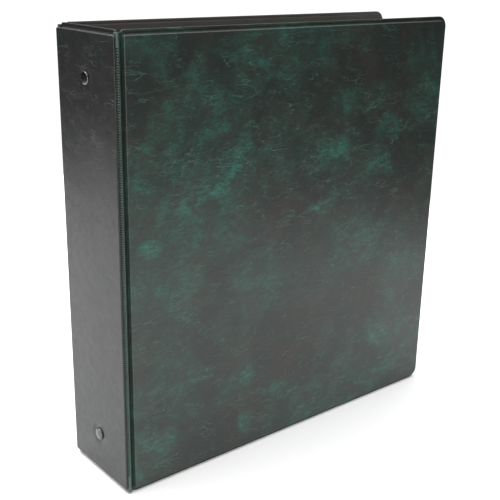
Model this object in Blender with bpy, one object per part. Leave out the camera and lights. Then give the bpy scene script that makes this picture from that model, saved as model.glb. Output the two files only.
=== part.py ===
"""Stamp album: a three-panel vinyl case, a three-ring metal and punched stock leaves.

Metres, +Z up. The album stands closed on its bottom edges, with its spine at -X, its front
cover at -Y and its back cover at +Y. The origin is the middle of the footprint, on the floor.
Inside the album, a height above the spine's liner is called a lift.
"""

import math

import bmesh
import bpy
from mathutils import Matrix, Vector

MM = 0.001
GAP = 0.3 * MM  # air between neighbouring solids
OVERCUT = 5.0 * MM  # how far a cutter stands out of what it cuts

# Closed album
HEIGHT = 298 * MM
COVER_WIDTH = 289 * MM  # spine's outer face to a cover's free edge
THICKNESS = 70 * MM  # front cover's outer face to back cover's outer face
MIDDLE_Z = HEIGHT / 2

# Panels: vinyl skin, board and liner, welded together in a flange around the free edges
SKIN = 0.5 * MM
BOARD = 2.2 * MM
LINER = 0.5 * MM
FLANGE = 3.0 * MM
LEDGE = 0.5 * MM  # the flange's width where a panel meets a hinge
FLANGE_DEPTH = 2.5 * MM  # outer face down to the flange
BEAD = 0.6 * MM  # rounding of the skin over the board's edge
BOARD_CHAMFER = 0.6 * MM
FREE_CORNER = 8.0 * MM
SQUARE_CORNER = 2.0 * MM
LEAST_CORNER = 0.4 * MM
PANEL = SKIN + GAP + BOARD + GAP + LINER

# Hinges: a welded vinyl band bent around each long edge of the spine, sunk between the panels
SPINE_EDGE = 3.8 * MM  # album's corner to the spine panel
COVER_EDGE = 6.7 * MM  # album's corner to a cover panel
BAND = 1.0 * MM
BAND_DEPTH = 2.8 * MM  # outer face down to the middle of the band's edges
BAND_TRIM = 2.0 * MM  # the band stops short of the panels' ends
BAND_LEAVES = 3.7 * MM  # how far the bend reaches on from the spine's edge
BAND_ARRIVES = 2.5 * MM  # how far the bend reaches back from the cover's edge
BAND_STEPS = 10
HINGE_INSET = 2.4 * MM  # the axis lies inside the bend

# Rivets through the spine
RIVET_SPACING = 238 * MM
RIVET_HEAD = 4.5 * MM
RIVET_DOME = 0.8 * MM
RIVET_CROWN = 0.5 * MM  # radius of the dome's flat top
RIVET_SHANK = 2.2 * MM
RIVET_HOLE = 2.5 * MM
INNER_HEAD = 4.0 * MM
INNER_RIM = 0.7 * MM
INNER_RIM_DRAFT = 0.3 * MM
INNER_RISE = 1.2 * MM
COLLAR = 4.0 * MM
RIVET_PROUD = GAP + RIVET_DOME

# Ring metal on the spine's liner
PLATE_LENGTH = 274 * MM
PLATE_HALF = 14.0 * MM
PLATE_SHEET = 0.9 * MM
PLATE_WALL = 5.0 * MM
PLATE_LIFT = 10.5 * MM
PLATE_LIP = 3.0 * MM
PLATE_RETURN = 2.5 * MM
SLOT_INNER = 5.2 * MM
SLOT_OUTER = 11.4 * MM
SLOT_HALF = 3.2 * MM
BLADE_SHEET = 1.2 * MM
BLADE_PIVOT_Y = 12.2 * MM
BLADE_PIVOT_LIFT = 3.6 * MM
BLADE_TILT = math.radians(4)
BLADE_END = 3.4 * MM  # blade's end to the trigger's pin
BLADE_APART = 0.35 * MM  # a blade's inner edge to the middle
BLADE_RELIEF = 5.2 * MM  # radius cleared around a rivet's collar

# Rings, 4.25 in apart
RING_SPACING = 107.95 * MM
RING_RADIUS = 23.5 * MM
WIRE = 2.0 * MM
RING_FOOT_Y = 8.2 * MM
RING_FOOT_LIFT = 4.4 * MM
RING_BEND = 4.0 * MM
RING_BEND_LIFT = 8.5 * MM
RING_TIP = 0.15 * MM

# Trigger levers at the ends of the plate
TRIGGER_PIN_LIFT = 2.8 * MM
TRIGGER_PIN_INSET = 5.0 * MM
TRIGGER_PIN = 1.0 * MM
TRIGGER_HOLE = 1.3 * MM
TRIGGER_HALF = 5.5 * MM
# Section of a lever, as (distance out from its pin, lift) in mm: tongue, foot and thumb pad
TRIGGER_SECTION = (
    (-6.6, 0.9),
    (1.6, 0.8),
    (3.4, 2.2),
    (6.4, 7.2),
    (9.0, 7.7),
    (9.5, 8.4),
    (9.0, 9.2),
    (6.2, 9.0),
    (2.2, 5.0),
    (-2.6, 4.9),
    (-2.6, 1.7),
    (-6.6, 1.7),
)

# Leaves, letter size
LEAF_COUNT = 8
LEAF_WIDTH = 215.9 * MM
LEAF_HEIGHT = 279.4 * MM
LEAF_SHEET = 0.8 * MM
LEAF_PITCH = 1.6 * MM
LEAF_MARGIN = 12.7 * MM
LEAF_HOLE = 4.3 * MM
LEAF_DROP = 1.0 * MM
LEAF_CORNER = 3.0 * MM

# Worked out
SPINE_X = RIVET_PROUD - (COVER_WIDTH + RIVET_PROUD) / 2
LINER_X = SPINE_X + PANEL
HINGE_X = SPINE_X + HINGE_INSET
HINGE_Y = THICKNESS / 2 - HINGE_INSET
RIVET_ZS = (MIDDLE_Z - RIVET_SPACING / 2, MIDDLE_Z + RIVET_SPACING / 2)
RING_ZS = (MIDDLE_Z - RING_SPACING, MIDDLE_Z, MIDDLE_Z + RING_SPACING)
TRIGGER_REACH = PLATE_LENGTH / 2 - TRIGGER_PIN_INSET
BEND_Y = RING_FOOT_Y + RING_BEND
RING_LIFT = RING_BEND_LIFT + math.sqrt((RING_RADIUS + RING_BEND) ** 2 - BEND_Y**2)
RING_X = LINER_X + RING_LIFT
LEAF_HOLE_X = RING_X + RING_RADIUS


def clear_scene():
    for obj in list(bpy.data.objects):
        bpy.data.objects.remove(obj, do_unlink=True)


def make_material(name, colour, roughness, metallic=0.0):
    material = bpy.data.materials.new(name)
    material.use_nodes = True
    shader = material.node_tree.nodes["Principled BSDF"]
    shader.inputs["Base Color"].default_value = (*colour, 1.0)
    shader.inputs["Roughness"].default_value = roughness
    shader.inputs["Metallic"].default_value = metallic
    return material


def loft(rings, closed=False):
    """A solid through rings of equally many points, capped unless the rings close on themselves."""
    bm = bmesh.new()
    loops = [[bm.verts.new(point) for point in ring] for ring in rings]
    pairs = list(zip(loops, loops[1:]))
    if closed:
        pairs.append((loops[-1], loops[0]))
    else:
        bm.faces.new(loops[0])
        bm.faces.new(reversed(loops[-1]))
    for low, high in pairs:
        for i, vert in enumerate(low):
            j = (i + 1) % len(low)
            bm.faces.new((vert, low[j], high[j], high[i]))
    return bm


def add_object(name, bm, material, pivot=(0, 0, 0)):
    """Makes an object of world-space geometry, with its origin at pivot."""
    bmesh.ops.recalc_face_normals(bm, faces=bm.faces)
    bmesh.ops.translate(bm, verts=bm.verts, vec=-Vector(pivot))
    mesh = bpy.data.meshes.new(name)
    bm.to_mesh(mesh)
    bm.free()
    mesh.shade_smooth()
    mesh.set_sharp_from_angle(angle=math.radians(35))
    mesh.materials.append(material)
    obj = bpy.data.objects.new(name, mesh)
    obj.location = pivot
    bpy.context.collection.objects.link(obj)
    return obj


def add_cutter(name, bm):
    """A tool body for Boolean cuts, which isn't part of the album."""
    cutter = add_object(name, bm, bpy.data.materials["steel"])
    cutter.hide_render = True
    cutter.display_type = "WIRE"
    return cutter


def cut(obj, cutter):
    boolean = obj.modifiers.new(cutter.name, "BOOLEAN")
    boolean.operation = "DIFFERENCE"
    boolean.solver = "EXACT"
    boolean.object = cutter


def circle(centre, radius, axis, count):
    """Points around a circle, square to the X or the Y axis."""
    points = []
    for i in range(count):
        turn = 2 * math.pi * i / count
        side = radius * math.cos(turn)
        up = radius * math.sin(turn)
        offset = (0, side, up) if axis == "X" else (side, 0, up)
        points.append(Vector(centre) + Vector(offset))
    return points


def turned(profile, z, closed=False):
    """A solid turned about an axis along X at height z, from (x, radius) pairs."""
    rings = [circle((x, 0, z), radius, "X", 24) for x, radius in profile]
    return loft(rings, closed)


def merge(*parts):
    """Puts several separate bodies into one mesh, for cutters."""
    whole = bmesh.new()
    for bm in parts:
        spare = bpy.data.meshes.new("spare")
        bm.to_mesh(spare)
        bm.free()
        whole.from_mesh(spare)
        bpy.data.meshes.remove(spare)
    return whole


def box(low, high):
    bm = bmesh.new()
    bmesh.ops.create_cube(bm, size=1)
    size = Vector(high) - Vector(low)
    bmesh.ops.scale(bm, verts=bm.verts, vec=size)
    bmesh.ops.translate(bm, verts=bm.verts, vec=Vector(low) + size / 2)
    return bm


def rounded_rectangle(u0, v0, u1, v1, radii, steps):
    """Points around a rectangle with its own radius and number of steps at each corner."""
    corners = ((u0, v0, 1, 1, 180), (u1, v0, -1, 1, 270), (u1, v1, -1, -1, 0), (u0, v1, 1, -1, 90))
    points = []
    for (u, v, to_u, to_v, start), radius, count in zip(corners, radii, steps):
        for k in range(count + 1):
            turn = math.radians(start + 90 * k / count)
            points.append(
                (u + radius * (to_u + math.cos(turn)), v + radius * (to_v + math.sin(turn)))
            )
    return points


class Panel:
    """One stiff panel of the case, in its own coordinates: u across, v up, d into the album."""

    def __init__(self, name, to_world, u0, u1, right_is_free, pivot):
        self.name = name
        self.to_world = to_world
        self.u0 = u0
        self.u1 = u1
        self.right_is_free = right_is_free
        self.pivot = pivot

    def ring(self, flanged, extra, depth):
        """The panel's outline, drawn in by its flange if flanged and by extra all round."""
        free = FLANGE if flanged else 0
        hinged = LEDGE if flanged else 0
        right = free if self.right_is_free else hinged
        square = max(SQUARE_CORNER - hinged - extra, LEAST_CORNER)
        far = max(FREE_CORNER - free - extra, LEAST_CORNER) if self.right_is_free else square
        outline = rounded_rectangle(
            self.u0 + hinged + extra,
            free + extra,
            self.u1 - right - extra,
            HEIGHT - free - extra,
            (square, far, far, square),
            (2, 8, 8, 2) if self.right_is_free else (2, 2, 2, 2),
        )
        return [self.to_world @ Vector((u, v, depth)) for u, v in outline]

    def skin(self):
        """Vinyl tray over the board's outer face and edges, with its half of the flange."""
        bead = [math.radians(90 * k / 3) for k in range(4)]
        rings = [
            self.ring(True, BEAD * (1 - math.sin(turn)), BEAD * (1 - math.cos(turn)))
            for turn in bead
        ]
        rings += [
            self.ring(True, 0, FLANGE_DEPTH),
            self.ring(False, 0, FLANGE_DEPTH),
            self.ring(False, 0, FLANGE_DEPTH + SKIN),
            self.ring(True, SKIN, FLANGE_DEPTH + SKIN),
            self.ring(True, SKIN, 2 * SKIN),
            self.ring(True, 2 * SKIN, SKIN),
        ]
        return loft(rings)

    def board(self):
        start = SKIN + GAP
        rings = [
            self.ring(True, start + BOARD_CHAMFER, start),
            self.ring(True, start, start + BOARD_CHAMFER),
            self.ring(True, start, start + BOARD),
        ]
        return loft(rings)

    def liner(self):
        return loft([self.ring(False, 0, PANEL - LINER), self.ring(False, 0, PANEL)])

    def build(self, materials):
        """Adds the panel's three layers and gives them back."""
        return [
            add_object(f"{self.name}_skin", self.skin(), materials["vinyl"], self.pivot),
            add_object(f"{self.name}_board", self.board(), materials["board"], self.pivot),
            add_object(f"{self.name}_liner", self.liner(), materials["liner"], self.pivot),
        ]


def make_panels():
    half = THICKNESS / 2
    front = Matrix(((1, 0, 0, SPINE_X), (0, 0, 1, -half), (0, 1, 0, 0), (0, 0, 0, 1)))
    back = Matrix(((1, 0, 0, SPINE_X), (0, 0, -1, half), (0, 1, 0, 0), (0, 0, 0, 1)))
    spine = Matrix(((0, 0, 1, SPINE_X), (1, 0, 0, -half), (0, 1, 0, 0), (0, 0, 0, 1)))
    return (
        Panel("front_cover", front, COVER_EDGE, COVER_WIDTH, True, (HINGE_X, -HINGE_Y, 0)),
        Panel("back_cover", back, COVER_EDGE, COVER_WIDTH, True, (HINGE_X, HINGE_Y, 0)),
        Panel("spine", spine, SPINE_EDGE, THICKNESS - SPINE_EDGE, False, (0, 0, 0)),
    )


def band_point(share):
    """A point of the band's middle and the way out of it, as (u, v) from the album's corner."""
    ends = (
        Vector((BAND_DEPTH, SPINE_EDGE - GAP)),
        Vector((BAND_DEPTH, SPINE_EDGE - GAP - BAND_LEAVES)),
        Vector((COVER_EDGE - GAP - BAND_ARRIVES, BAND_DEPTH)),
        Vector((COVER_EDGE - GAP, BAND_DEPTH)),
    )
    rest = 1 - share
    point = (
        rest**3 * ends[0]
        + 3 * rest**2 * share * ends[1]
        + 3 * rest * share**2 * ends[2]
        + share**3 * ends[3]
    )
    along = (
        rest**2 * (ends[1] - ends[0])
        + 2 * rest * share * (ends[2] - ends[1])
        + share**2 * (ends[3] - ends[2])
    ).normalized()
    return point, Vector((along.y, -along.x))


def make_hinge(name, side, material):
    """The band from the spine, round the album's corner and on to the cover."""
    low, high = BAND_TRIM, HEIGHT - BAND_TRIM
    half = THICKNESS / 2
    rings = []
    for k in range(BAND_STEPS + 1):
        point, outward = band_point(k / BAND_STEPS)
        outer = point + BAND / 2 * outward
        inner = point - BAND / 2 * outward
        corners = ((outer, low), (outer, high), (inner, high), (inner, low))
        rings.append([(SPINE_X + u, side * (half - v), z) for (u, v), z in corners])
    return add_object(name, loft(rings), material)


def make_rivets(spine_layers, plate, materials):
    holes = merge(
        *[
            turned(
                [
                    (SPINE_X - OVERCUT, RIVET_HOLE),
                    (LINER_X + PLATE_LIFT + OVERCUT, RIVET_HOLE),
                ],
                z,
            )
            for z in RIVET_ZS
        ]
    )
    cutter = add_cutter("rivet_hole_cutter", holes)
    for obj in (*spine_layers, plate):
        cut(obj, cutter)
    under_head = SPINE_X - GAP
    over_plate = LINER_X + PLATE_LIFT + GAP
    head = [(under_head - RIVET_DOME, RIVET_CROWN)]
    head += [
        (under_head - RIVET_DOME * math.cos(turn), RIVET_HEAD * math.sin(turn))
        for turn in [math.radians(18 * k) for k in range(1, 6)]
    ]
    profile = [
        *head,
        (under_head, RIVET_SHANK),
        (over_plate, RIVET_SHANK),
        (over_plate, INNER_HEAD),
        (over_plate + INNER_RIM, INNER_HEAD - INNER_RIM_DRAFT),
        (over_plate + INNER_RISE, RIVET_SHANK),
    ]
    collar_top = LINER_X + PLATE_LIFT - PLATE_SHEET - 2 * GAP
    collar = [
        (LINER_X + GAP, RIVET_HOLE),
        (LINER_X + GAP, COLLAR),
        (collar_top, COLLAR),
        (collar_top, RIVET_HOLE),
    ]
    for end, z in zip(("bottom", "top"), RIVET_ZS):
        add_object(f"rivet_{end}", turned(profile, z), materials["rivet"])
        add_object(f"rivet_collar_{end}", turned(collar, z, True), materials["steel"])


def make_plate(material):
    """Arched channel whose folded edges hold the blades, with slots for the rings."""
    lip = PLATE_HALF - PLATE_LIP
    inside = PLATE_HALF - PLATE_SHEET
    turns = [math.pi * k / 16 for k in range(17)]
    outer_arch = [
        (PLATE_HALF * math.cos(t), PLATE_WALL + (PLATE_LIFT - PLATE_WALL) * math.sin(t))
        for t in turns
    ]
    inner_arch = [
        (inside * math.cos(t), PLATE_WALL + (PLATE_LIFT - PLATE_SHEET - PLATE_WALL) * math.sin(t))
        for t in reversed(turns)
    ]
    foot = GAP + PLATE_SHEET
    section = [
        (lip, PLATE_RETURN),
        (lip, GAP),
        (PLATE_HALF, GAP),
        *outer_arch,
        (-PLATE_HALF, GAP),
        (-lip, GAP),
        (-lip, PLATE_RETURN),
        (-lip - PLATE_SHEET, PLATE_RETURN),
        (-lip - PLATE_SHEET, foot),
        (-inside, foot),
        *inner_arch,
        (inside, foot),
        (lip + PLATE_SHEET, foot),
        (lip + PLATE_SHEET, PLATE_RETURN),
    ]
    ends = (MIDDLE_Z - PLATE_LENGTH / 2, MIDDLE_Z + PLATE_LENGTH / 2)
    rings = [[(LINER_X + lift, y, z) for y, lift in section] for z in ends]
    plate = add_object("ring_plate", loft(rings), material)
    slot_top = LINER_X + PLATE_LIFT + OVERCUT
    slots = [
        box((LINER_X + PLATE_WALL, near, z - SLOT_HALF), (slot_top, far, z + SLOT_HALF))
        for z in RING_ZS
        for near, far in ((-SLOT_OUTER, -SLOT_INNER), (SLOT_INNER, SLOT_OUTER))
    ]
    cut(plate, add_cutter("ring_slot_cutter", merge(*slots)))
    return plate


def make_blade(name, side, material, relief):
    """Spring blade that swings about its outer edge, and meets its twin in the middle."""
    pivot = Vector((LINER_X + BLADE_PIVOT_LIFT, side * BLADE_PIVOT_Y, 0))
    inward = Vector((-math.sin(BLADE_TILT), -side * math.cos(BLADE_TILT), 0))
    upward = Vector((math.cos(BLADE_TILT), -side * math.sin(BLADE_TILT), 0))
    half = BLADE_SHEET / 2
    width = BLADE_PIVOT_Y - BLADE_APART
    section = [(width, -half), (width, half)]
    section += [
        (half * math.cos(turn), half * math.sin(turn))
        for turn in [math.radians(90 + 30 * k) for k in range(7)]
    ]
    reach = TRIGGER_REACH - BLADE_END
    rings = [
        [pivot + across * inward + over * upward + Vector((0, 0, z)) for across, over in section]
        for z in (MIDDLE_Z - reach, MIDDLE_Z + reach)
    ]
    blade = add_object(name, loft(rings), material, tuple(pivot))
    cut(blade, relief)
    return blade


def ring_path(side):
    """Centre line of a ring half, as (lift, y): up from the blade, out, and round to the top."""
    path = [(RING_FOOT_LIFT, RING_FOOT_Y)]
    meet = math.atan2(RING_LIFT - RING_BEND_LIFT, BEND_Y)
    for k in range(5):
        turn = math.pi - meet * k / 4
        path.append((RING_BEND_LIFT + RING_BEND * math.sin(turn), BEND_Y + RING_BEND * math.cos(turn)))
    start = -meet
    stop = math.acos(RING_TIP / RING_RADIUS)
    for k in range(1, 18):
        turn = start + (stop - start) * k / 17
        path.append((RING_LIFT + RING_RADIUS * math.sin(turn), RING_RADIUS * math.cos(turn)))
    return [Vector((LINER_X + lift, side * y, 0)) for lift, y in path]


def make_ring_half(name, side, z, material):
    path = ring_path(side)
    rings = []
    for i, point in enumerate(path):
        ahead = path[min(i + 1, len(path) - 1)] - path[max(i - 1, 0)]
        across = Vector((-ahead.y, ahead.x, 0)).normalized()
        centre = point + Vector((0, 0, z))
        rings.append(
            [
                centre
                + WIRE * (math.cos(math.radians(36 * k)) * across)
                + Vector((0, 0, WIRE * math.sin(math.radians(36 * k))))
                for k in range(10)
            ]
        )
    pivot = (LINER_X + BLADE_PIVOT_LIFT, side * BLADE_PIVOT_Y, z)
    return add_object(name, loft(rings), material, pivot)


def make_ring_metal(materials):
    plate = make_plate(materials["chrome"])
    reliefs = [
        turned([(LINER_X, BLADE_RELIEF), (LINER_X + PLATE_LIFT, BLADE_RELIEF)], z)
        for z in RIVET_ZS
    ]
    relief = add_cutter("blade_relief_cutter", merge(*reliefs))
    for half, side in (("front", -1), ("back", 1)):
        make_blade(f"{half}_blade", side, materials["steel"], relief)
        for place, z in zip(("bottom", "middle", "top"), RING_ZS):
            make_ring_half(f"{half}_ring_{place}", side, z, materials["chrome"])
    return plate


def make_trigger(end, side, pin_holes, materials):
    """Lever that turns on its pin and lifts both blades with the tongue under them."""
    z = MIDDLE_Z + side * TRIGGER_REACH
    rings = [
        [(LINER_X + lift * MM, y, z + side * out * MM) for out, lift in TRIGGER_SECTION]
        for y in (-TRIGGER_HALF, TRIGGER_HALF)
    ]
    pin_x = LINER_X + TRIGGER_PIN_LIFT
    lever = add_object(f"trigger_{end}", loft(rings), materials["chrome"], (pin_x, 0, z))
    cut(lever, pin_holes)
    reach = PLATE_HALF - GAP
    pin = loft([circle((pin_x, y, z), TRIGGER_PIN, "Y", 16) for y in (-reach, reach)])
    add_object(f"trigger_pin_{end}", pin, materials["steel"])


def make_triggers(plate, materials):
    holes = [
        loft(
            [
                circle(
                    (LINER_X + TRIGGER_PIN_LIFT, y, MIDDLE_Z + side * TRIGGER_REACH),
                    TRIGGER_HOLE,
                    "Y",
                    16,
                )
                for y in (-2 * PLATE_HALF, 2 * PLATE_HALF)
            ]
        )
        for side in (-1, 1)
    ]
    cutter = add_cutter("trigger_hole_cutter", merge(*holes))
    cut(plate, cutter)
    for end, side in (("bottom", -1), ("top", 1)):
        make_trigger(end, side, cutter, materials)


def make_leaves(material):
    low_z = MIDDLE_Z - LEAF_HEIGHT / 2 - LEAF_DROP
    low_x = LEAF_HOLE_X - LEAF_MARGIN
    outline = rounded_rectangle(
        low_x,
        low_z,
        low_x + LEAF_WIDTH,
        low_z + LEAF_HEIGHT,
        [LEAF_CORNER] * 4,
        [3] * 4,
    )
    reach = LEAF_COUNT * LEAF_PITCH
    holes = [
        loft([circle((LEAF_HOLE_X, y, z - LEAF_DROP), LEAF_HOLE, "Y", 16) for y in (-reach, reach)])
        for z in RING_ZS
    ]
    cutter = add_cutter("leaf_hole_cutter", merge(*holes))
    for k in range(LEAF_COUNT):
        middle = (k - (LEAF_COUNT - 1) / 2) * LEAF_PITCH
        rings = [
            [(x, middle + face, z) for x, z in outline] for face in (-LEAF_SHEET / 2, LEAF_SHEET / 2)
        ]
        leaf = add_object(f"leaf_{k + 1}", loft(rings), material, (RING_X, 0, 0))
        cut(leaf, cutter)


def make_album():
    clear_scene()
    materials = {
        "vinyl": make_material("vinyl", (0.035, 0.065, 0.055), 0.42),
        "liner": make_material("liner", (0.02, 0.02, 0.02), 0.5),
        "board": make_material("board", (0.32, 0.27, 0.2), 0.9),
        "hinge": make_material("hinge", (0.02, 0.07, 0.05), 0.45),
        "steel": make_material("steel", (0.5, 0.5, 0.5), 0.35, 1.0),
        "chrome": make_material("chrome", (0.75, 0.75, 0.76), 0.12, 1.0),
        "rivet": make_material("rivet", (0.16, 0.16, 0.17), 0.3, 1.0),
        "leaf": make_material("leaf", (0.012, 0.012, 0.013), 0.6),
    }
    for panel in make_panels():
        layers = panel.build(materials)
    make_hinge("front_hinge", -1, materials["hinge"])
    make_hinge("back_hinge", 1, materials["hinge"])
    plate = make_ring_metal(materials)
    make_rivets(layers, plate, materials)
    make_triggers(plate, materials)
    make_leaves(materials["leaf"])


make_album()
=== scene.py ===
"""Looks of the stamp album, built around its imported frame.

Each panel's skin and liner, both hinge bands, the rivets, the rings and the leaves' strips are modelled
here at the CAD's places. The remaining CAD nodes keep their shapes and get their materials here.
Metres, +Z up, with the spine at -X and the front cover at -Y.
"""

import math

import bmesh
import bpy
import numpy as np
from mathutils import Euler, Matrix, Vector


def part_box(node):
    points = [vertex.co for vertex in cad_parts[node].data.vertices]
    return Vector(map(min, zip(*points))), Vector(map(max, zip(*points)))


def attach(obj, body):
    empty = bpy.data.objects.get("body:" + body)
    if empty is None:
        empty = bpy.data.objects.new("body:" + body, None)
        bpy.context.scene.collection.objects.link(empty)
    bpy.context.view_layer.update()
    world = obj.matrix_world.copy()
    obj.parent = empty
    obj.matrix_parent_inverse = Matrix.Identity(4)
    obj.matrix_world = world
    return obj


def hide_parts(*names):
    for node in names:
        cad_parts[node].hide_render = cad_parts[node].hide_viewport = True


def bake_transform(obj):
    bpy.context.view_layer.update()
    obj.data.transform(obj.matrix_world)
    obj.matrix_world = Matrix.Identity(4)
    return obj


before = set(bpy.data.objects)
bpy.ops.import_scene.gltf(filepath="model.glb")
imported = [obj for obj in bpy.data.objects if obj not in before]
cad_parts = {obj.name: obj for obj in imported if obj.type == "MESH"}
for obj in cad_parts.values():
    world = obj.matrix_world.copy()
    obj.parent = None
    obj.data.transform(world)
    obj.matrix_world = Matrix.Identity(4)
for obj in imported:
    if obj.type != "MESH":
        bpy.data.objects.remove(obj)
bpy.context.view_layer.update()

MM = 0.001

# Places read from the frame
SKIN_LOW, SKIN_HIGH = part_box("front_cover_skin")
HEIGHT = SKIN_HIGH.z
HALF = -SKIN_LOW.y  # half the album's thickness
SPINE_LOW, SPINE_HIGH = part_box("spine_skin")
SPINE_X = SPINE_LOW.x
LINER_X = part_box("spine_liner")[1].x
LINER_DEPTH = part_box("spine_liner")[0].x - SPINE_X
LINER_TOP = LINER_X - SPINE_X
COVER_REACH = 1.0 * MM  # how far a cover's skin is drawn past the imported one, towards the spine
SPINE_LIP = 3.1 * MM  # how far the spine's welded lip reaches over each hinge
SPINE_EDGE = HALF - SPINE_HIGH.y  # album's corner to the spine panel
COVER_EDGE = SKIN_LOW.x - COVER_REACH - SPINE_X  # album's corner to a cover panel
RIVETS = [sum((Vector(c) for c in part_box(f"rivet_{end}")), Vector()) / 2 for end in ("bottom", "top")]

# Panels
FLANGE = 3.0 * MM  # width of the welded flange at the outer edges
FLANGE_TOP = 2.45 * MM  # its depth below the panel's face
FLANGE_SHEET = 0.6 * MM  # its thickness
WELD_SINK = 0.22 * MM  # pressed line along the flange
LINER_WELD_SINK = 0.2 * MM  # the same line on the liner's side
LEDGE = 0.5 * MM  # what is left of the flange beside a hinge
FREE_CORNER = 8.0 * MM  # corner radius away from the hinges
SQUARE_CORNER = 2.0 * MM  # corner radius at the hinges
LEAST_CORNER = 0.35 * MM
CORNER_LINES = 7  # grid lines in each corner
SKIN = 0.5 * MM
BEAD = 0.75 * MM  # rounding of the skin over the board's edge
BEAD_STEPS = 4
LIP_DEPTH = 0.82 * MM  # thickness of the spine's lip
LEAST_STEP = 0.02 * MM  # keeps two rings of points apart
WAVE = 0.14 * MM  # unevenness of the sheet
WAVE_PLAIN = 5 * MM  # width along the edges without it
WAVE_FADE = 25 * MM
DIMPLE = 0.5 * MM  # depth of the sheet's dip under a rivet's head
DIMPLE_INSIDE = 0.24 * MM  # and on the sheet's inner face
DIMPLE_FLAT = 4.1 * MM  # radius of the dip's floor
DIMPLE_REACH = 9.0 * MM  # radius where the dip ends
COLUMNS = 56
ROWS = 60
RIVET_HOLE = 2.5 * MM
HOLE_OVERRUN = 5 * MM  # how far a hole's cutter passes the panel

# Hinge bands
BAND = 1.0 * MM  # thickness
BAND_START = 1.75 * MM  # depth of its middle at the spine, under the lip
BAND_DEPTH = 2.8 * MM  # and at the cover
BAND_GAP = 0.3 * MM  # from its ends to the panels' edges
BAND_TRIM = 1.4 * MM  # how much shorter it is than the panels, at each end
BAND_LEAVES = 4.75 * MM  # how straight its curve leaves the spine
BAND_ARRIVES = Vector((2.4, 1.6)) * MM  # and meets the cover
BAND_ROUND = 0.5 * MM  # rounding of its top and bottom ends
BAND_TIP = 0.45  # share of its thickness left at those ends
RIB_PITCH = 1.5 * MM
RIB_DEPTH = 0.5 * MM
RIB_SHAPE = ((0, 0), (0.22, 0), (0.30, 1), (0.70, 1), (0.78, 0))  # share of a pitch, how far sunk
PLAIN_TOP = 8.0 * MM  # plain lengths without ribs
PLAIN_BOTTOM = 12.0 * MM
RIB_FROM = 0.13  # the ribs' two ends, as shares of the band's way round the corner
RIB_TO = 0.46
RIB_FADE = 0.03
RIM_RISE = 0.12 * MM  # raised line where the ribs end
RIM_AT = RIB_TO + 0.03
RIM_WIDTH = 0.05
GROOVE_FROM = RIB_TO + 0.06
GROOVE_FADE = 0.08
GROOVE_SHADE = 0.6  # painted shade: how much darker the groove beside a cover is coloured

# Green clouds printed on the front cover: across and up in mm, half length, half height, tilt, strength
CLOUDS = (
    (-75, 196, 36, 11, 12, 0.75),
    (-54, 217, 21, 11, 35, 0.6),
    (27, 208, 22, 17, 0, 0.8),
    (88, 218, 26, 13, 0, 0.6),
    (80, 191, 25, 12, -15, 0.6),
    (23, 169, 19, 8, 0, 0.75),
    (-125, 168, 15, 11, 0, 0.5),
    (-130, 210, 13, 26, 0, 0.35),
    (-54, 56, 24, 17, 25, 0.6),
    (-14, 41, 30, 13, -12, 0.6),
    (88, 58, 32, 15, -10, 0.75),
    (-48, 19, 11, 13, 0, 0.7),
    (86, 22, 30, 11, 10, 0.4),
    (-120, 28, 20, 15, 0, 0.4),
    (75, 132, 26, 18, 30, 0.35),
    (55, 245, 46, 15, 0, 0.35),
    (-56, 280, 38, 12, 0, 0.3),
    (-92, 141, 20, 8, 30, 0.35),
)

# Camera
CAMERA_PLACE = (-0.39768, -0.46245, 0.33807)
CAMERA_TURN = (71.3514, -1.0879, -39.2342)
CAMERA_LENS = 62.748

# Studio
FLOOR_PLACE = (-0.12, 0.12, 0)
FLOOR_RADIUS = 0.75
CEILING_AXIS = (-0.05, 0.08, 1)
CEILING_STRENGTH = {"From Min": 0.35, "From Max": 0.9, "To Min": 0.03, "To Max": 2.85}
BACKGROUND_STRENGTH = 1.1


# ---------------------------------------------------------------- materials


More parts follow.
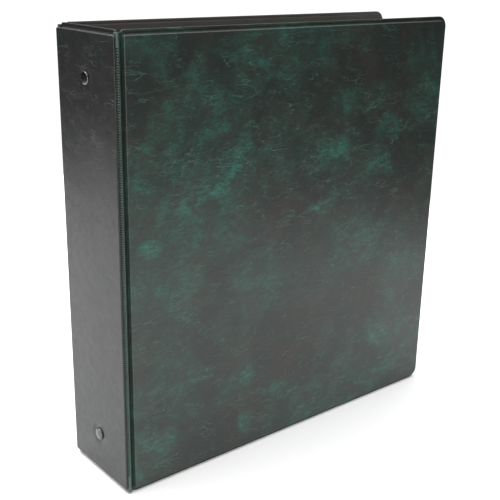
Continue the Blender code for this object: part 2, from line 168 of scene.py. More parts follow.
class Material:
    """A Principled material, with short calls for adding nodes to it."""

    def __init__(self, name, colour, roughness, metallic=0.0, ior=1.5):
        self.material = bpy.data.materials.new(name)
        self.material.use_nodes = True
        self.tree = self.material.node_tree
        self.shader = self.tree.nodes["Principled BSDF"]
        self.set(**{"Base Color": (*colour, 1), "Roughness": roughness, "Metallic": metallic, "IOR": ior})

    def feed(self, socket, value):
        if isinstance(value, bpy.types.NodeSocket):
            self.tree.links.new(value, socket)
        else:
            socket.default_value = value

    def set(self, **inputs):
        for name, value in inputs.items():
            self.feed(self.shader.inputs[name], value)

    def node(self, kind, inputs=(), **settings):
        made = self.tree.nodes.new("ShaderNode" + kind)
        for name, value in settings.items():
            setattr(made, name, value)
        for name, value in dict(inputs).items():
            self.feed(made.inputs[name], value)
        return made

    def math(self, operation, a, b=0.0):
        return self.node("Math", {0: a, 1: b}, operation=operation).outputs[0]

    def vector(self, operation, a, b=(0, 0, 0), scale=1.0):
        inputs = {0: a, "Scale": scale} if operation == "SCALE" else {0: a, 1: b}
        return self.node("VectorMath", inputs, operation=operation).outputs[0]

    def mix(self, share, a, b):
        colours = [c if isinstance(c, bpy.types.NodeSocket) else (*c, 1) for c in (a, b)]
        made = self.node("Mix", {0: share, 6: colours[0], 7: colours[1]}, data_type="RGBA")
        return made.outputs[2]

    def ramp(self, value, low, high, start=0.0, end=1.0):
        """start below low, end above high, and a smooth step between them."""
        inputs = {"Value": value, "From Min": low, "From Max": high, "To Min": start, "To Max": end}
        made = self.node("MapRange", inputs, interpolation_type="SMOOTHSTEP")
        return made.outputs[0]

    def noise(self, vector, size, detail=2.0, roughness=0.5):
        inputs = {"Vector": vector, "Scale": 1 / size, "Detail": detail, "Roughness": roughness}
        return self.node("TexNoise", inputs).outputs["Fac"]

    def cells(self, vector, size, feature="F1"):
        inputs = {"Vector": vector, "Scale": 1 / size}
        return self.node("TexVoronoi", inputs, feature=feature).outputs["Distance"]

    def millimetres(self, attribute=None):
        """The piece's place at rest, in mm."""
        if attribute:
            place = self.node("Attribute", attribute_name=attribute).outputs["Vector"]
        else:
            place = self.node("TexCoord").outputs["Object"]
        return self.vector("SCALE", place, scale=1000.0)

    def warped(self, vector, size, reach):
        """The place moved about by a slow noise, for edges that wander."""
        colour = self.node("TexNoise", {"Vector": vector, "Scale": 1 / size, "Detail": 3.0}).outputs["Color"]
        shift = self.vector("SCALE", self.vector("SUBTRACT", colour, (0.5, 0.5, 0.5)), scale=reach)
        return self.vector("ADD", vector, shift)

    def relief(self, *heights):
        """Bumps in series, from (height, depth in metres) pairs."""
        normal = None
        for height, depth in heights:
            inputs = {"Height": height, "Distance": depth, "Strength": 1.0}
            if normal:
                inputs["Normal"] = normal
            normal = self.node("Bump", inputs).outputs["Normal"]
        self.set(Normal=normal)


def cloud_cover(m, wandering, amount, patches):
    """Where the green shows: a broad drift everywhere, and the placed clouds on top of it."""
    broad = m.ramp(m.noise(wandering, 60, 3), 0.40, 0.62)
    cover = m.math("MULTIPLY", broad, amount)
    for across, up, length, height, tilt, strength in patches:
        inputs = {
            "Vector": wandering,
            "Location": (across, 0, up),
            "Rotation": (0, -math.radians(tilt), 0),
            "Scale": (length, 1000, height),
        }
        local = m.node("Mapping", inputs, vector_type="TEXTURE").outputs[0]
        inside = m.node("TexGradient", {"Vector": local}, gradient_type="SPHERICAL").outputs["Fac"]
        cover = m.math("ADD", cover, m.ramp(inside, 0, 0.8, 0, strength))
    return cover


def crease_lines(m, place, patchy):
    """Fine wandering creases in three sizes, gathered in clusters and thicker over the green."""
    drawn = m.warped(m.vector("MULTIPLY", place, (1, 1, 4.0)), 55, 30)
    creases = None
    for size, width, cluster, depth in ((30, 0.012, 27, 1.0), (14, 0.024, 18, 0.8), (7, 0.04, 12, 0.55)):
        off = m.math("ABSOLUTE", m.math("SUBTRACT", m.noise(drawn, size, 2.5), 0.5))
        here = m.ramp(m.noise(m.vector("MULTIPLY", place, (1, 1, 1.7)), cluster, 2), 0.50, 0.66)
        here = m.math("MINIMUM", m.math("ADD", here, m.math("MULTIPLY", patchy, 0.35)), 1.0)
        lines = m.math("MULTIPLY", m.ramp(off, 0, width, depth, 0), here)
        creases = m.math("MAXIMUM", creases, lines) if creases else lines
    return creases


def leatherette(name, dark, brown, green, crease, patches=(), clouds=0.45, attribute=None, ior=1.45):
    """Vinyl with a leather print: a dark ground, fibrous green clouds, pale creases and a fine grain; with
    an attribute, also painted shade in the rib slots and the groove.
    """
    m = Material(name, dark, 0.36, ior=ior)
    place = m.millimetres(attribute)
    wandering = m.warped(m.warped(place, 48, 34), 13, 10)
    combed = m.vector("MULTIPLY", m.warped(place, 7, 5), (1, 1, 2.8))
    fibres = m.ramp(m.noise(combed, 5.5, 6, 0.7), 0.36, 0.64)
    mottle = m.ramp(m.noise(wandering, 17, 5, 0.62), 0.40, 0.66)
    cover = cloud_cover(m, wandering, clouds, patches)
    shreds = m.math("MULTIPLY", m.ramp(fibres, 0, 1, 0.4, 1.15), m.ramp(mottle, 0, 1, 0.4, 1.15))
    patchy = m.math("MINIMUM", m.math("MULTIPLY", cover, shreds), 1.0)
    tone = m.ramp(m.noise(wandering, 30, 3), 0.4, 0.62)
    creases = crease_lines(m, place, patchy)
    grain = m.cells(m.warped(place, 2, 0.8), 0.9)
    pores = m.noise(place, 0.35, 2)
    ground = m.mix(tone, dark, brown)
    coloured = m.mix(patchy, ground, green)
    lined = m.mix(m.math("MULTIPLY", creases, 0.5), coloured, crease)
    shaded = m.mix(m.ramp(grain, 0.1, 0.7, 0.0, 0.12), lined, (0.004, 0.005, 0.005))
    if attribute:
        # Painted shade: near-black mixed in where the 'slot' attribute marks the rib slots and the groove
        # beside a cover.
        painted_shade = m.node("Attribute", attribute_name="slot").outputs["Fac"]
        shaded = m.mix(m.math("MULTIPLY", painted_shade, 0.97), shaded, (0.001, 0.0015, 0.0012))
    uneven = m.math("ADD", m.noise(place, 5, 4), m.math("MULTIPLY", creases, 0.3))
    m.set(**{"Base Color": shaded, "Roughness": m.ramp(uneven, 0.3, 0.8, 0.31, 0.40)})
    m.relief(
        (m.noise(wandering, 26, 3), 0.25 * MM),
        (creases, 0.05 * MM),
        (grain, 0.035 * MM),
        (pores, 0.012 * MM),
    )
    return m.material


def cover_vinyl(name, patches):
    dark, brown = (0.020, 0.025, 0.022), (0.027, 0.026, 0.023)
    green, crease = (0.024, 0.100, 0.075), (0.060, 0.165, 0.130)
    return leatherette(name, dark, brown, green, crease, patches)


def spine_vinyl():
    # Painted shade: darker than the covers' vinyl, and less reflective through its lower IOR.
    dark, brown = (0.015, 0.016, 0.015), (0.019, 0.016, 0.017)
    green, crease = (0.012, 0.030, 0.025), (0.045, 0.055, 0.052)
    return leatherette("spine_vinyl", dark, brown, green, crease, ior=1.39)


def hinge_vinyl():
    """Its pattern follows the band's places at rest, so it stays put while the band bends."""
    # Painted light: these colours are lighter than the covers' vinyl, for the light that the band's ribs
    # catch.
    dark, brown = (0.050, 0.076, 0.062), (0.046, 0.064, 0.054)
    green, crease = (0.048, 0.110, 0.088), (0.06, 0.12, 0.10)
    return leatherette("hinge", dark, brown, green, crease, attribute="rest")


def liner_vinyl():
    m = Material("liner", (0.02, 0.02, 0.02), 0.42)
    place = m.millimetres()
    grain = m.cells(m.warped(place, 2, 0.7), 0.8)
    m.set(**{"Base Color": m.mix(m.noise(place, 22, 4), (0.070, 0.066, 0.062), (0.100, 0.092, 0.084))})
    m.set(Roughness=m.ramp(m.noise(place, 6, 3), 0.3, 0.7, 0.36, 0.48))
    m.relief((m.noise(place, 30, 3), 0.2 * MM), (grain, 0.03 * MM))
    return m.material


def chipboard():
    m = Material("chipboard", (0.3, 0.25, 0.19), 0.9)
    place = m.vector("MULTIPLY", m.millimetres(), (1, 1, 0.35))
    layers = m.ramp(m.noise(place, 0.8, 4), 0.4, 0.65)
    m.set(**{"Base Color": m.mix(layers, (0.34, 0.29, 0.22), (0.20, 0.16, 0.12))})
    m.relief((m.noise(place, 0.6, 4), 0.08 * MM))
    return m.material


def steel():
    m = Material("steel", (0.5, 0.5, 0.51), 0.35, 1.0)
    place = m.vector("MULTIPLY", m.millimetres(), (1, 6, 0.12))
    m.set(**{"Base Color": m.mix(m.noise(place, 3, 3), (0.40, 0.40, 0.41), (0.56, 0.56, 0.57))})
    m.set(Roughness=m.ramp(m.noise(place, 1.2, 4), 0.3, 0.7, 0.28, 0.42))
    m.relief((m.noise(place, 0.5, 3), 0.01 * MM))
    return m.material


def chrome():
    m = Material("chrome", (0.80, 0.80, 0.81), 0.1, 1.0)
    place = m.millimetres()
    m.set(**{"Base Color": m.mix(m.noise(place, 14, 3), (0.74, 0.74, 0.75), (0.84, 0.84, 0.85))})
    m.set(Roughness=m.ramp(m.noise(place, 2.5, 5), 0.35, 0.7, 0.07, 0.17))
    m.relief((m.noise(place, 9, 2), 0.03 * MM), (m.noise(place, 0.3, 2), 0.002 * MM))
    return m.material


def rivet_metal():
    m = Material("rivet", (0.2, 0.2, 0.21), 0.3, 1.0)
    place = m.millimetres()
    m.set(**{"Base Color": m.mix(m.noise(place, 2.2, 4), (0.07, 0.07, 0.07), (0.16, 0.16, 0.165))})
    m.set(Roughness=m.ramp(m.noise(place, 0.9, 4), 0.3, 0.7, 0.20, 0.36))
    m.relief((m.noise(place, 1.5, 3), 0.03 * MM))
    return m.material


def leaf_card():
    m = Material("leaf_card", (0.012, 0.012, 0.013), 0.62)
    place = m.millimetres()
    fibres = m.noise(m.warped(place, 1.2, 1.5), 0.45, 4, 0.7)
    m.set(**{"Base Color": m.mix(m.ramp(fibres, 0.35, 0.7), (0.009, 0.009, 0.010), (0.022, 0.022, 0.022))})
    m.set(Roughness=m.ramp(fibres, 0.3, 0.7, 0.55, 0.7))
    m.relief((fibres, 0.03 * MM))
    return m.material


def strip_film():
    m = Material("strip_film", (0.92, 0.94, 0.95), 0.08)
    place = m.millimetres()
    m.set(Alpha=m.ramp(m.noise(place, 18, 3), 0.3, 0.7, 0.16, 0.26))
    m.set(Roughness=m.ramp(m.noise(place, 5, 3), 0.3, 0.7, 0.06, 0.16))
    m.relief((m.noise(place, 24, 2), 0.3 * MM))
    return m.material


def floor_white():
    m = Material("floor", (0.9, 0.9, 0.9), 0.9)
    m.set(**{"Base Color": m.mix(m.noise(m.millimetres(), 300, 2), (0.89, 0.89, 0.89), (0.91, 0.91, 0.91))})
    return m.material


def make_materials():
    turned_over = [(across, HEIGHT / MM - up, *rest) for across, up, *rest in CLOUDS]
    return {
        "front_cover": cover_vinyl("front_vinyl", CLOUDS),
        "back_cover": cover_vinyl("back_vinyl", turned_over),
        "spine": spine_vinyl(),
        "hinge": hinge_vinyl(),
        "liner": liner_vinyl(),
        "board": chipboard(),
        "steel": steel(),
        "chrome": chrome(),
        "rivet": rivet_metal(),
        "leaf": leaf_card(),
        "film": strip_film(),
        "floor": floor_white(),
    }


# ---------------------------------------------------------------- meshes


def add_mesh(name, points, faces):
    """A mesh object with its faces turned outward."""
    bm = bmesh.new()
    verts = [bm.verts.new(point) for point in points]
    for face in faces:
        bm.faces.new([verts[i] for i in face])
    bmesh.ops.recalc_face_normals(bm, faces=bm.faces)
    mesh = bpy.data.meshes.new(name)
    bm.to_mesh(mesh)
    bm.free()
    obj = bpy.data.objects.new(name, mesh)
    bpy.context.scene.collection.objects.link(obj)
    return obj


def add_piece(name, points, faces, material, body, replaced=(), angle=38):
    """Makes a closed piece of world-space points, which rides on a body if one is given."""
    obj = add_mesh(name, points, faces)
    obj.data.shade_smooth()
    obj.data.set_sharp_from_angle(angle=math.radians(angle))
    obj.data.materials.append(material)
    if replaced:
        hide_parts(*replaced)
    if body:
        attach(obj, body)
    return obj


def tube_faces(count, around):
    """Quads between successive loops of equally many points, with both ends capped."""
    faces = [tuple(range(around)), tuple((count - 1) * around + i for i in reversed(range(around)))]
    for k in range(count - 1):
        for i in range(around):
            j = (i + 1) % around
            faces.append((k * around + i, k * around + j, (k + 1) * around + j, (k + 1) * around + i))
    return faces


def cut_holes(obj, cutter):
    """Cuts cutter out of obj for good, and removes the cutter."""
    boolean = obj.modifiers.new("holes", "BOOLEAN")
    boolean.operation = "DIFFERENCE"
    boolean.solver = "EXACT"
    boolean.object = cutter
    bpy.context.view_layer.update()
    cut = bpy.data.meshes.new_from_object(obj.evaluated_get(bpy.context.evaluated_depsgraph_get()))
    obj.modifiers.remove(boolean)
    old = obj.data
    obj.data = cut
    bpy.data.meshes.remove(old)
    bpy.data.objects.remove(cutter)


# ---------------------------------------------------------------- panels


def smooth_step(value):
    """0 up to 0, 1 from 1, and a smooth rise between."""
    value = np.clip(value, 0, 1)
    return value * value * (3 - 2 * value)


def spread(straight):
    """Each grid line's share of the near corner, of the straight between corners and of the far corner."""
    near = np.r_[np.linspace(1, 0, CORNER_LINES + 1)[:-1], np.zeros(len(straight) + CORNER_LINES)]
    middle = np.r_[np.zeros(CORNER_LINES), straight, np.ones(CORNER_LINES)]
    return near, middle, near[::-1]


class Panel:
    """One stiff panel, in its own coordinates: u across, v up and d into the album."""

    def __init__(self, name, to_world, u0, u1, free, rows, seed):
        """free says whether the edge at u1 is a cover's outer one; seed varies the sheet's unevenness."""
        self.name = name
        self.to_world = to_world
        self.u0 = u0
        self.u1 = u1
        self.free = free
        self.lip = 0.0 if free else SPINE_LIP
        self.columns = spread(np.linspace(0, 1, COLUMNS))
        self.rows = spread(rows)
        self.seed = seed

    def grid(self, share, extra, depth, dimple=0.0, lip=0.0):
        """Rows and columns of points over the panel, drawn in by a share of its flange and by extra.

        lip is the share of the spine's lip, which widens it to both sides.
        """
        left = LEDGE * share + extra
        right = (FLANGE if self.free else LEDGE) * share + extra
        ends = FLANGE * share + extra
        r0 = max(SQUARE_CORNER - left, LEAST_CORNER)
        r1 = max((FREE_CORNER if self.free else SQUARE_CORNER) - right, LEAST_CORNER)
        left -= lip * self.lip
        right -= lip * self.lip
        near_u, middle_u, far_u = (line[None, :] for line in self.columns)
        near_v, middle_v, far_v = (line[:, None] for line in self.rows)
        u0, u1 = self.u0 + left + r0, self.u1 - right - r1
        radius = r0 + (r1 - r0) * middle_u
        v0, v1 = ends + radius, HEIGHT - ends - radius
        u = u0 + (u1 - u0) * middle_u + (r1 * far_u - r0 * near_u) * np.sqrt(1 - (near_v + far_v) ** 2 / 2)
        v = v0 + (v1 - v0) * middle_v + radius * (far_v - near_v) * np.sqrt(1 - (near_u + far_u) ** 2 / 2)
        d = depth + self.wave(u, v) + dimple * self.dimples(u, v)
        return np.stack([u, v, d + 0 * u], axis=-1)

    def wave(self, u, v):
        """A slight unevenness of the sheet over the board, none at the edges."""
        edge = np.minimum(np.minimum(u - self.u0, self.u1 - u), np.minimum(v, HEIGHT - v))
        swell = np.sin(u / (31 * MM) + self.seed) * np.sin(v / (47 * MM) + 2 * self.seed)
        swell += 0.5 * np.sin(u / (17 * MM) - v / (23 * MM) + 3 * self.seed)
        return WAVE * swell / 1.5 * smooth_step((edge - WAVE_PLAIN) / WAVE_FADE)

    def dimples(self, u, v):
        """1 under each rivet's head, falling to 0 around it."""
        if self.name != "spine":
            return 0 * u * v
        near = np.minimum(*[np.hypot(u - rivet.y, v - rivet.z) for rivet in RIVETS])
        return smooth_step((DIMPLE_REACH - near) / (DIMPLE_REACH - DIMPLE_FLAT))

    def solid(self, rings):
        """Points and faces of a closed shell: the first and last rings filled, the others between them."""
        grids = [self.grid(*ring) for ring in rings]
        rows, columns = grids[0].shape[:2]
        index = np.arange(rows * columns).reshape(rows, columns)
        rim = np.r_[index[0, :-1], index[:-1, -1], index[-1, :0:-1], index[:0:-1, 0]]
        points = [grids[0].reshape(-1, 3)]
        loops = [rim]
        start = rows * columns
        for grid in grids[1:-1]:
            points.append(grid.reshape(-1, 3)[rim])
            loops.append(start + np.arange(len(rim)))
            start += len(rim)
        points.append(grids[-1].reshape(-1, 3))
        loops.append(start + rim)
        sheet = np.stack([index[:-1, :-1], index[:-1, 1:], index[1:, 1:], index[1:, :-1]], -1).reshape(-1, 4)
        faces = [sheet, start + sheet]
        for low, high in zip(loops, loops[1:]):
            faces.append(np.stack([low, np.roll(low, -1), np.roll(high, -1), high], -1))
        points = [self.to_world(*point) for point in np.concatenate(points).tolist()]
        return points, np.concatenate(faces).tolist()

    def skin_rings(self):
        """From the face over the bead, down the wall, out along the welded flange and back inside."""
        rings = [(1, BEAD, 0, DIMPLE, 1)]
        for k in range(1, BEAD_STEPS + 1):
            turn = math.radians(90 * k / BEAD_STEPS)
            rings.append((1, BEAD * (1 - math.sin(turn)), BEAD * (1 - math.cos(turn)), 0, 1))
        return rings + [
            (1, 0, LIP_DEPTH, 0, 0.98),
            (1, 0, LIP_DEPTH + LEAST_STEP),
            (1, 0, FLANGE_TOP - 0.5 * MM),
            (0.97, 0, FLANGE_TOP - 0.2 * MM),
            (0.88, 0, FLANGE_TOP),
            (0.76, 0, FLANGE_TOP + LEAST_STEP),
            (0.70, 0, FLANGE_TOP + WELD_SINK),
            (0.60, 0, FLANGE_TOP + WELD_SINK),
            (0.54, 0, FLANGE_TOP),
            (0.12, 0, FLANGE_TOP),
            (0.03, 0, FLANGE_TOP + 0.1 * MM),
            (0, 0, FLANGE_TOP + FLANGE_SHEET / 2),
            (0.03, 0, FLANGE_TOP + FLANGE_SHEET),
            (1, SKIN, FLANGE_TOP + FLANGE_SHEET),
            (1, SKIN, 2 * SKIN),
            (1, 2 * SKIN, SKIN, DIMPLE_INSIDE),
        ]

    def liner_rings(self):
        """From the liner's face over the welded line and round its edge to its back."""
        face = LINER_TOP - LEAST_STEP
        return [
            (1, 0, face),
            (0.80, 0, face),
            (0.72, 0, LINER_TOP - LINER_WELD_SINK),
            (0.58, 0, LINER_TOP - LINER_WELD_SINK),
            (0.50, 0, face),
            (0.06, 0, face),
            (0, 0, LINER_TOP - 0.15 * MM),
            (0, 0, LINER_DEPTH + 0.1 * MM),
            (0.05, 0, LINER_DEPTH + LEAST_STEP),
        ]

    def build(self, materials):
        body = self.name
        layers = (
            ("skin", self.skin_rings(), materials[body], "vinyl"),
            ("liner", self.liner_rings(), materials["liner"], "liner"),
        )
        for layer, rings, material, slot in layers:
            points, faces = self.solid(rings)
            name = f"{self.name}_{layer}"
            piece = add_piece(f"{name}_sheet", points, faces, material, None, [name])
            if self.name == "spine":
                cut_holes(piece, rivet_hole_cutter())
            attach(piece, body)


def rivet_hole_cutter():
    """Two pins along X through the spine, a little wider than the rivets' shanks."""
    around = 24
    points = []
    faces = []
    for k, rivet in enumerate(RIVETS):
        for x in (SPINE_X - HOLE_OVERRUN, LINER_X + HOLE_OVERRUN):
            for i in range(around):
                turn = 2 * math.pi * i / around
                points.append((x, RIVET_HOLE * math.cos(turn), rivet.z + RIVET_HOLE * math.sin(turn)))
        faces += [tuple(2 * around * k + i for i in face) for face in tube_faces(2, around)]
    return add_mesh("rivet_holes", points, faces)


def make_panels(materials):
    even = np.linspace(0, 1, ROWS)
    near_rivets = np.concatenate([(rivet.z + np.arange(-11, 12) * MM) / HEIGHT for rivet in RIVETS])
    spine_rows = np.unique(np.round(np.concatenate([even, near_rivets]), 4))
    cover = (SKIN_LOW.x - COVER_REACH, SKIN_HIGH.x, True, even)
    spine = (SPINE_LOW.y, SPINE_HIGH.y, False, spine_rows)
    for panel in (
        Panel("front_cover", lambda u, v, d: (u, -HALF + d, v), *cover, seed=0.7),
        Panel("back_cover", lambda u, v, d: (u, HALF - d, v), *cover, seed=2.1),
        Panel("spine", lambda u, v, d: (SPINE_X + d, u, v), *spine, seed=1.3),
    ):
        panel.build(materials)


# ---------------------------------------------------------------- hinge bands


def band_point(share):
    """A point of the band's middle and the way out of it, as (u, v) from the album's corner."""
    a = Vector((BAND_START, SPINE_EDGE - BAND_GAP))
    b = a - Vector((0, BAND_LEAVES))
    d = Vector((COVER_EDGE - BAND_GAP, BAND_DEPTH))
    c = d - BAND_ARRIVES
    rest = 1 - share
    point = rest**3 * a + 3 * rest**2 * share * b + 3 * rest * share**2 * c + share**3 * d
    along = rest**2 * (b - a) + 2 * rest * share * (c - b) + share**2 * (d - c)
    along.normalize()
    return point, Vector((along.y, -along.x))


def band_levels(low, high):
    """(height, how far the ribs are sunk there) from the band's bottom to its top."""
    first, last = low + PLAIN_BOTTOM, high - PLAIN_TOP
    count = round((last - first) / RIB_PITCH)
    pitch = (last - first) / count
    ends = [share * BAND_ROUND for share in (0, 0.2, 0.5, 1)]
    levels = [(low + end, 0.0) for end in ends]
    for k in range(count):
        levels += [(first + (k + phase) * pitch, sunk) for phase, sunk in RIB_SHAPE]
    return levels + [(high - end, 0.0) for end in reversed(ends)]


def make_band(name, side, material):
    """Ribbed vinyl band around the corner between the spine and a cover."""
    low, high = BAND_TRIM, HEIGHT - BAND_TRIM
    plain = np.linspace(0, RIB_FROM, 6)
    ribs = np.linspace(RIB_FROM, RIB_TO, 12)[1:]
    groove = np.linspace(RIB_TO, 1, 12)[1:]
    outer = [(*band_point(share), share) for share in np.concatenate([plain, ribs, groove]).tolist()]
    inner = [band_point(share) for share in np.linspace(1, 0, 9).tolist()]
    levels = band_levels(low, high)
    points = []
    shade = []
    for z, sunk in levels:
        end = min(z - low, high - z) / BAND_ROUND
        plump = BAND_TIP + (1 - BAND_TIP) * math.sqrt(max(0, 1 - (1 - min(end, 1)) ** 2))
        for point, outward, share in outer:
            ribbed = smooth_step((share - RIB_FROM) / RIB_FADE) * smooth_step((RIB_TO - share) / RIB_FADE)
            rim = RIM_RISE * smooth_step(1 - abs(share - RIM_AT) / RIM_WIDTH)
            lift = BAND / 2 * plump - RIB_DEPTH * sunk * ribbed + (rim if end > 1 else 0)
            u, v = point + float(lift) * outward
            points.append((SPINE_X + u, side * (HALF - v), z))
            # Painted shade: the rib slots and the groove beside the cover are coloured darker through the
            # 'slot' attribute.
            groove_shade = GROOVE_SHADE * smooth_step((share - GROOVE_FROM) / GROOVE_FADE)
            shade.append(float(max(sunk * ribbed, groove_shade)))
        for point, outward in inner:
            u, v = point - BAND / 2 * plump * outward
            points.append((SPINE_X + u, side * (HALF - v), z))
            shade.append(0.0)
    faces = tube_faces(len(levels), len(outer) + len(inner))
    piece = add_piece(f"{name}_band", points, faces, material, None, [name], 60)
    places = np.array([vertex.co for vertex in piece.data.vertices], np.float32)
    piece.data.attributes.new("rest", "FLOAT_VECTOR", "POINT").data.foreach_set("vector", places.ravel())
    # slot: the share of painted shade at each point of the band
    piece.data.attributes.new("slot", "FLOAT", "POINT").data.foreach_set("value", shade)
    start, _ = band_point(0)
    stop, _ = band_point(1)
    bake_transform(piece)


# ---------------------------------------------------------------- metal


def turned(name, profile, z, material, replaced):
    """A piece turned about the X axis at height z, from (x, radius) pairs that start and end near it."""
    around = 40
    points = []
    for x, radius in profile:
        for i in range(around):
            turn = 2 * math.pi * i / around
            points.append((x, radius * math.cos(turn), z + radius * math.sin(turn)))
    faces = tube_faces(len(profile), around)
    return add_piece(name, points, faces, material, "spine", [replaced], 30)


def make_rivets(material):
    """Each rivet has a domed head on the spine, a shank and a rolled end on the ring plate."""
    head, rim, shank = 4.1 * MM, 0.5 * MM, 2.2 * MM
    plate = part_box("ring_plate")[1].x
    foot = SPINE_X + 0.4 * MM
    for end, rivet in zip(("bottom", "top"), RIVETS):
        low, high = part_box(f"rivet_{end}")
        rise = foot - low.x - rim
        profile = [(low.x, 0.2 * MM)]
        for k in range(1, 13):
            r = (head - rim) * k / 12
            profile.append((low.x + rise * (r / head) ** 2.4 * 0.55, r))
        base = profile[-1][0]
        for k in range(1, 7):
            turn = math.radians(90 * k / 6)
            profile.append((base + (foot - base) * (1 - math.cos(turn)), head - rim + rim * math.sin(turn)))
        profile += [
            (foot, head - 0.4 * MM),
            (foot, shank),
            (plate + 0.1 * MM, shank),
            (plate + 0.1 * MM, 3.7 * MM),
            (plate + 0.4 * MM, 4.0 * MM),
            (plate + 0.8 * MM, 3.9 * MM),
            (plate + 1.1 * MM, 3.4 * MM),
            (high.x - 0.05 * MM, 2.4 * MM),
            (high.x, 1.2 * MM),
            (high.x, 0.2 * MM),
        ]
        turned(f"rivet_{end}_turned", profile, rivet.z, material, f"rivet_{end}")


def ring_path(side):
    """Centre line of a ring half: up from the blade, out through the plate and round to the tip."""
    radius, foot_y, foot_lift, bend, bend_lift, tip = (v * MM for v in (23.5, 8.2, 4.4, 4.0, 8.5, 0.15))
    bend_y = foot_y + bend
    lift = bend_lift + math.sqrt((radius + bend) ** 2 - bend_y**2)
    meet = math.atan2(lift - bend_lift, bend_y)
    path = [(foot_lift + (bend_lift - foot_lift) * k / 4, foot_y) for k in range(4)]
    for k in range(13):
        turn = math.pi - meet * k / 12
        path.append((bend_lift + bend * math.sin(turn), bend_y + bend * math.cos(turn)))
    stop = math.acos(tip / radius)
    for k in range(1, 61):
        turn = -meet + (stop + meet) * k / 60
        path.append((lift + radius * math.sin(turn), radius * math.cos(turn)))
    return [Vector((LINER_X + lift, side * y, 0)) for lift, y in path]


def make_rings(material):
    """Six ring halves of round wire, three on each blade."""
    wire, around = 2.0 * MM, 24
    for half, side in (("front", -1), ("back", 1)):
        path = ring_path(side)
        for place in ("bottom", "middle", "top"):
            name = f"{half}_ring_{place}"
            low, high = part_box(name)
            up = Vector((0, 0, (low.z + high.z) / 2))
            points = []
            for i, point in enumerate(path):
                ahead = path[min(i + 1, len(path) - 1)] - path[max(i - 1, 0)]
                across = Vector((-ahead.y, ahead.x, 0)).normalized()
                radius = wire * (0.92 if i == len(path) - 1 else 1)
                for k in range(around):
                    turn = 2 * math.pi * k / around
                    offset = across * math.cos(turn) + Vector((0, 0, math.sin(turn)))
                    points.append(point + up + radius * offset)
            faces = tube_faces(len(path), around)
            add_piece(f"{name}_wire", points, faces, material, f"{half}_blade", [name])


def finish_nodes(materials):
    """Materials and soft edges for the CAD nodes that stay."""
    kept = {
        "board": ["front_cover_board", "back_cover_board", "spine_board"],
        "chrome": ["ring_plate", "trigger_top", "trigger_bottom"],
        "steel": [
            "front_blade",
            "back_blade",
            "rivet_collar_top",
            "rivet_collar_bottom",
            "trigger_pin_top",
            "trigger_pin_bottom",
        ],
        "leaf": [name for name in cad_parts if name.startswith("leaf_")],
    }
    for material, names in kept.items():
        for name in names:
            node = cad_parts[name]
            node.data.materials.clear()
            node.data.materials.append(materials[material])
            weld = node.modifiers.new("weld", "WELD")
            weld.merge_threshold = 0.01 * MM
            bevel = node.modifiers.new("edges", "BEVEL")
            bevel.width = 0.12 * MM
            bevel.segments = 2
            bevel.limit_method = "ANGLE"
            bevel.angle_limit = math.radians(40)


# ---------------------------------------------------------------- leaves


def make_strips(material):
    """Clear strips across both faces of each stock leaf, open at the top."""
    strips, columns = 7, 9
    tall, film, air, sag = 31 * MM, 0.12 * MM, 0.05 * MM, 0.6 * MM
    leaves = sorted(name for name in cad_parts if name.startswith("leaf_"))
    for leaf in leaves:
        low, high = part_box(leaf)
        left, right = low.x + 26 * MM, high.x - 4 * MM
        pitch = (high.z - low.z - 8 * MM) / strips
        points = []
        faces = []
        for face, out in ((low.y, -1), (high.y, 1)):
            for k in range(strips):
                foot = low.z + 5 * MM + k * pitch
                start = len(points)
                for i in range(columns):
                    x = left + (right - left) * i / (columns - 1)
                    top = foot + tall - sag * math.sin(math.pi * i / (columns - 1))
                    for z, near in ((foot, air), (top, air), (top, air + film), (foot, air + film)):
                        points.append((x, face + out * near, z))
                faces += [tuple(start + i for i in quad) for quad in tube_faces(columns, 4)]
        add_piece(f"{leaf}_strips", points, faces, material, leaf)


# ---------------------------------------------------------------- studio


def make_floor(material):
    bm = bmesh.new()
    bmesh.ops.create_circle(bm, cap_ends=True, cap_tris=False, segments=96, radius=FLOOR_RADIUS)
    mesh = bpy.data.meshes.new("floor")
    bm.to_mesh(mesh)
    bm.free()
    mesh.materials.append(material)
    floor = bpy.data.objects.new("floor", mesh)
    floor.location = FLOOR_PLACE
    bpy.context.scene.collection.objects.link(floor)


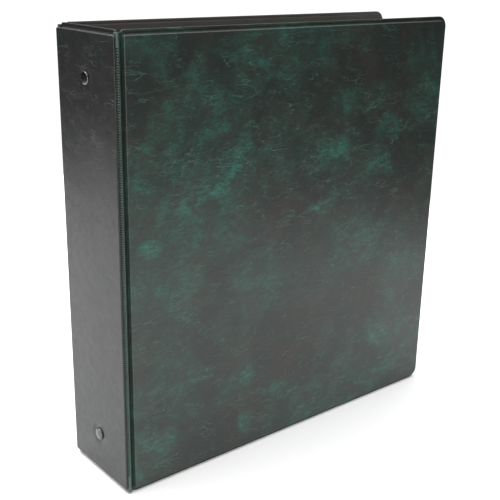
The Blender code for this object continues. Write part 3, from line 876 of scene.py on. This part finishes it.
def make_world():
    """White behind the album for the camera; a soft ceiling over dark surroundings for everything else."""
    world = bpy.data.worlds.new("studio")
    world.use_nodes = True
    tree = world.node_tree
    tree.nodes.clear()
    place = tree.nodes.new("ShaderNodeTexCoord")
    along = tree.nodes.new("ShaderNodeVectorMath")
    along.operation = "DOT_PRODUCT"
    along.inputs[1].default_value = Vector(CEILING_AXIS).normalized()
    tree.links.new(place.outputs["Generated"], along.inputs[0])
    height = tree.nodes.new("ShaderNodeMapRange")
    height.interpolation_type = "SMOOTHSTEP"
    for socket, value in CEILING_STRENGTH.items():
        height.inputs[socket].default_value = value
    tree.links.new(along.outputs["Value"], height.inputs["Value"])
    ceiling = tree.nodes.new("ShaderNodeBackground")
    tree.links.new(height.outputs[0], ceiling.inputs["Strength"])
    white = tree.nodes.new("ShaderNodeBackground")
    for background in (ceiling, white):
        background.inputs["Color"].default_value = (1, 1, 1, 1)
    white.inputs["Strength"].default_value = BACKGROUND_STRENGTH
    path = tree.nodes.new("ShaderNodeLightPath")
    either = tree.nodes.new("ShaderNodeMixShader")
    tree.links.new(path.outputs["Is Camera Ray"], either.inputs[0])
    tree.links.new(ceiling.outputs[0], either.inputs[1])
    tree.links.new(white.outputs[0], either.inputs[2])
    out = tree.nodes.new("ShaderNodeOutputWorld")
    tree.links.new(either.outputs[0], out.inputs["Surface"])
    bpy.context.scene.world = world


def add_light(name, place, target, size, power):
    light = bpy.data.lights.new(name, "AREA")
    light.shape = "SQUARE"
    light.size = size
    light.energy = power
    obj = bpy.data.objects.new(name, light)
    obj.location = place
    obj.rotation_euler = (Vector(target) - Vector(place)).to_track_quat("-Z", "Y").to_euler()
    bpy.context.scene.collection.objects.link(obj)


def make_camera():
    data = bpy.data.cameras.new("camera")
    data.lens = CAMERA_LENS
    data.sensor_width = 36
    data.clip_start = 0.01
    camera = bpy.data.objects.new("camera", data)
    camera.location = CAMERA_PLACE
    camera.rotation_euler = Euler([math.radians(angle) for angle in CAMERA_TURN], "XYZ")
    bpy.context.scene.collection.objects.link(camera)
    bpy.context.scene.camera = camera


materials = make_materials()
make_camera()
make_panels(materials)
make_band("front_hinge", -1, materials["hinge"])
make_band("back_hinge", 1, materials["hinge"])
make_rivets(materials["rivet"])
make_rings(materials["chrome"])
make_strips(materials["film"])
finish_nodes(materials)
make_floor(materials["floor"])
make_world()
add_light("key", place=(-0.4, 0.75, 1.5), target=(-0.05, 0, 0.1), size=0.9, power=16)
add_light("low_fill", place=(-1.1, -0.9, 0.3), target=(0, 0, 0.2), size=0.6, power=9)
bpy.context.scene.view_settings.view_transform = "Standard"
